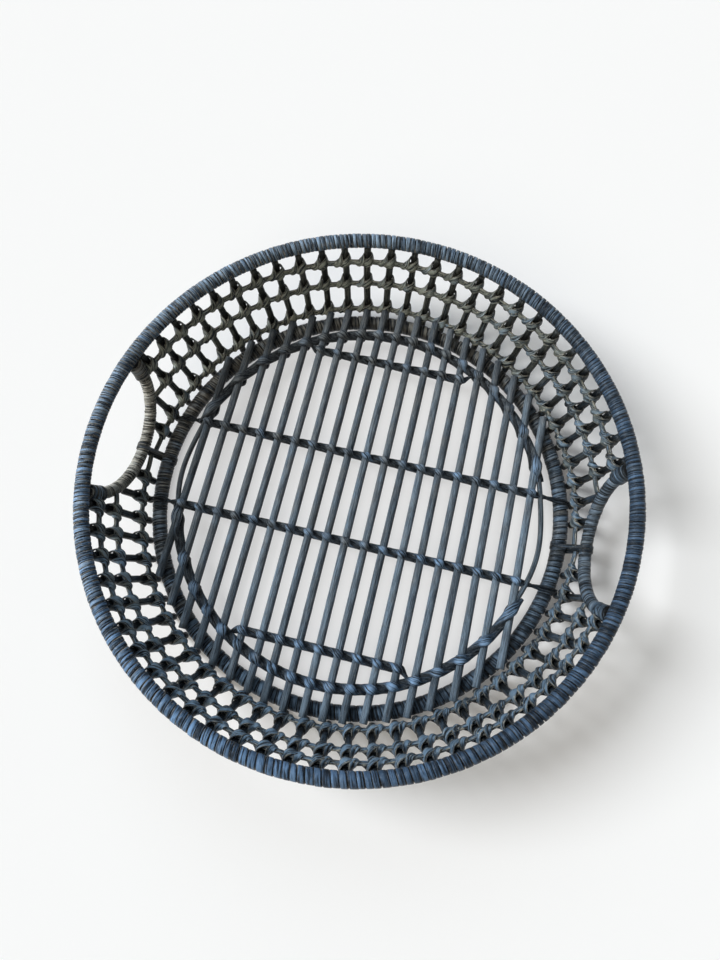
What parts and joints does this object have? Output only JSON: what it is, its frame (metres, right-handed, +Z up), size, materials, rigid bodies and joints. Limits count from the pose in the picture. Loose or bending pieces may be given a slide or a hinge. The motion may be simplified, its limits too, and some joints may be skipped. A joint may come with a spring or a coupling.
{
  "type": "basket tray",
  "caption": "Round woven rattan tray with a slatted floor, an openwork flared wall, a bound rim and two cut-out bow handles.",
  "frame": {"origin": "centre of the face the tray stands on", "axes": "+Z up, +X towards the handle at the right of the picture"},
  "size_m": [0.4204, 0.42, 0.082],
  "materials": {
    "bound_cane": "dark blue stained strip, satin, worn paler on its edges",
    "floor_cane": "blue-grey stained round rod, satin, with fine fibre lines",
    "strand_cane": "charcoal stained twisted strand, satin",
    "wall_cane": "charcoal stained rod and strip, satin, worn olive grey",
    "raw_cane": "unstained rod under a binding"
  },
  "bodies": {
    "root": {"rim_binding": "bound_cane", "base_binding": "bound_cane", "right_bow_binding": "bound_cane", "left_bow_binding": "bound_cane", "right_bow_tie": "bound_cane", "left_bow_tie": "bound_cane", "rim_hoop": "raw_cane", "base_hoop": "raw_cane", "right_bow": "raw_cane", "left_bow": "raw_cane", "floor_rod_01": "floor_cane", "floor_rod_02": "floor_cane", "floor_rod_03": "floor_cane", "floor_rod_04": "floor_cane", "floor_rod_05": "floor_cane", "floor_rod_06": "floor_cane", "floor_rod_07": "floor_cane", "floor_rod_08": "floor_cane", "floor_rod_09": "floor_cane", "floor_rod_10": "floor_cane", "floor_rod_11": "floor_cane", "floor_rod_12": "floor_cane", "floor_rod_13": "floor_cane", "floor_rod_14": "floor_cane", "floor_rod_15": "floor_cane", "floor_rod_16": "floor_cane", "floor_rod_17": "floor_cane", "floor_rod_18": "floor_cane", "floor_rod_19": "floor_cane", "inner_row_back_strand_1": "strand_cane", "inner_row_back_strand_2": "strand_cane", "end_row_back_strand_1": "strand_cane", "end_row_back_strand_2": "strand_cane", "ring_row_back_strand_1": "strand_cane", "ring_row_back_strand_2": "strand_cane", "inner_row_front_strand_1": "strand_cane", "inner_row_front_strand_2": "strand_cane", "end_row_front_strand_1": "strand_cane", "end_row_front_strand_2": "strand_cane", "ring_row_front_strand_1": "strand_cane", "ring_row_front_strand_2": "strand_cane", "wall_row_low_back": "wall_cane", "wall_row_middle_back": "wall_cane", "wall_row_high_back": "wall_cane", "wall_row_low_front": "wall_cane", "wall_row_middle_front": "wall_cane", "wall_row_high_front": "wall_cane", "wall_stakes_back_1": "wall_cane", "wall_stakes_back_2": "wall_cane", "wall_stakes_back_3": "wall_cane", "wall_stakes_back_4": "wall_cane", "wall_stakes_back_5": "wall_cane", "wall_stakes_back_6": "wall_cane", "wall_stakes_front_1": "wall_cane", "wall_stakes_front_2": "wall_cane", "wall_stakes_front_3": "wall_cane", "wall_stakes_front_4": "wall_cane", "wall_stakes_front_5": "wall_cane", "wall_stakes_front_6": "wall_cane"}
  },
  "joints": []
}
